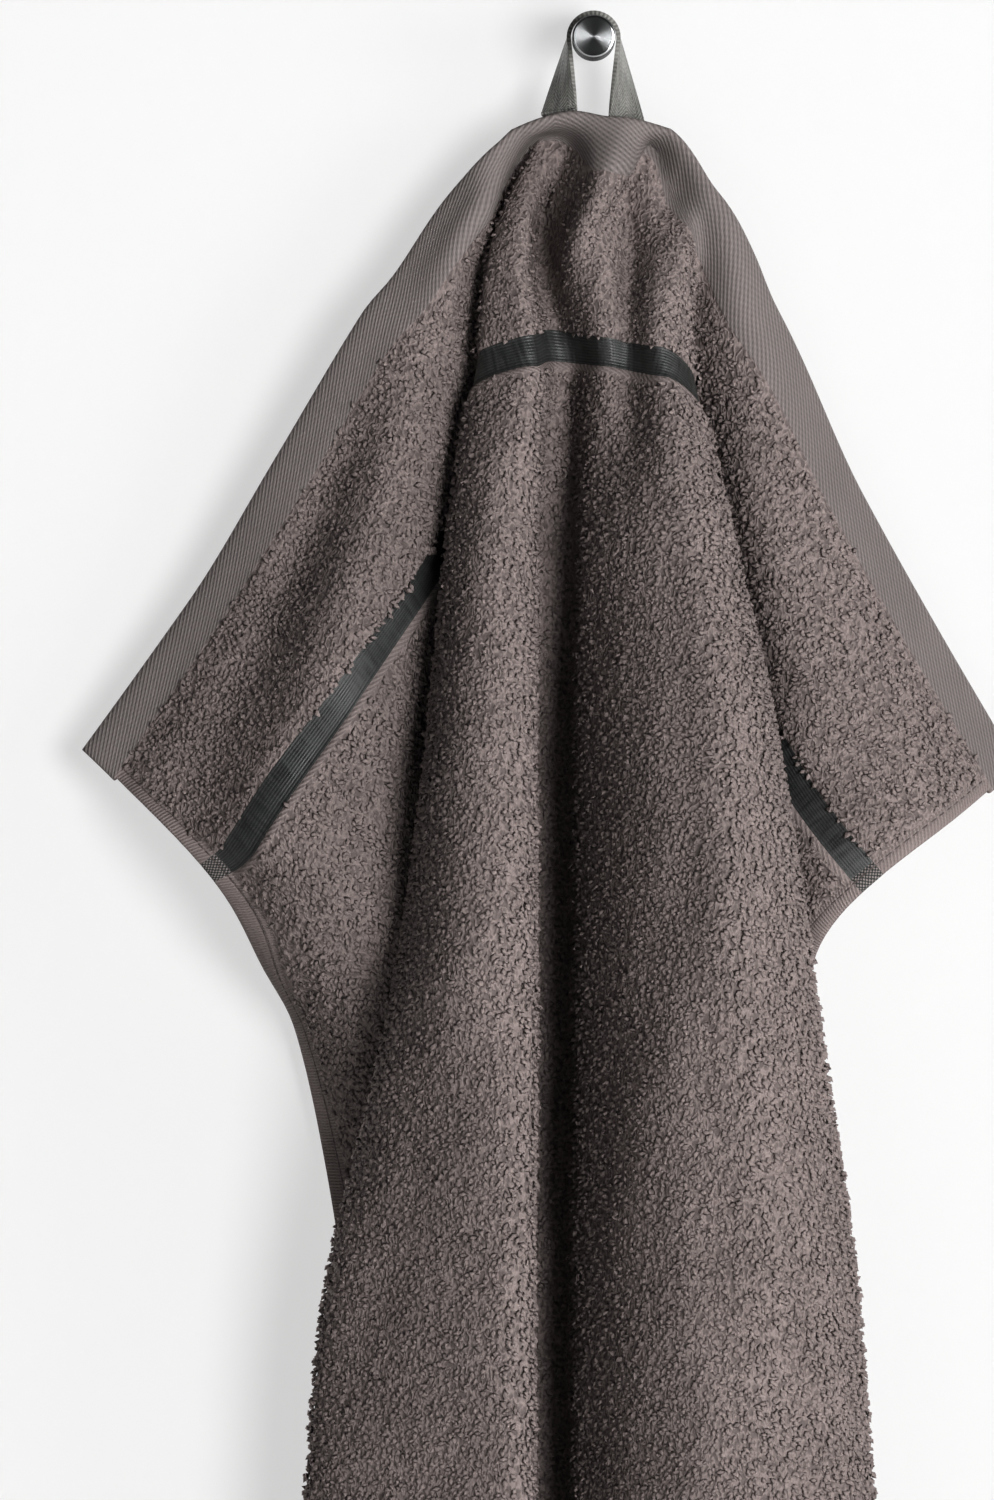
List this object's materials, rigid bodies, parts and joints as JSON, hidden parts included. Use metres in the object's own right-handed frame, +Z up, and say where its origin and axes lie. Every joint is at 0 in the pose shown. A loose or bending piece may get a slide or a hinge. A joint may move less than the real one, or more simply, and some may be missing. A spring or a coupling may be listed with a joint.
{
  "type": "hand towel on a wall peg",
  "caption": "Terry hand towel with flat hems and a dark woven stripe, hanging in folds by its sewn tape loop from a plain round steel wall peg.",
  "frame": {"origin": "centre of the peg's back end, on the wall", "axes": "+Z up, +Y into the wall, +X to the right as seen from the room"},
  "size_m": [0.2825, 0.1136, 0.7735],
  "materials": {
    "terry": "cut and looped cotton pile, matte",
    "tape": "ribbed woven tape, matte",
    "peg_steel": "turned, satin"
  },
  "bodies": {
    "root": {"towel": "terry", "hanging_loop": "tape", "peg": "peg_steel"}
  },
  "joints": []
}
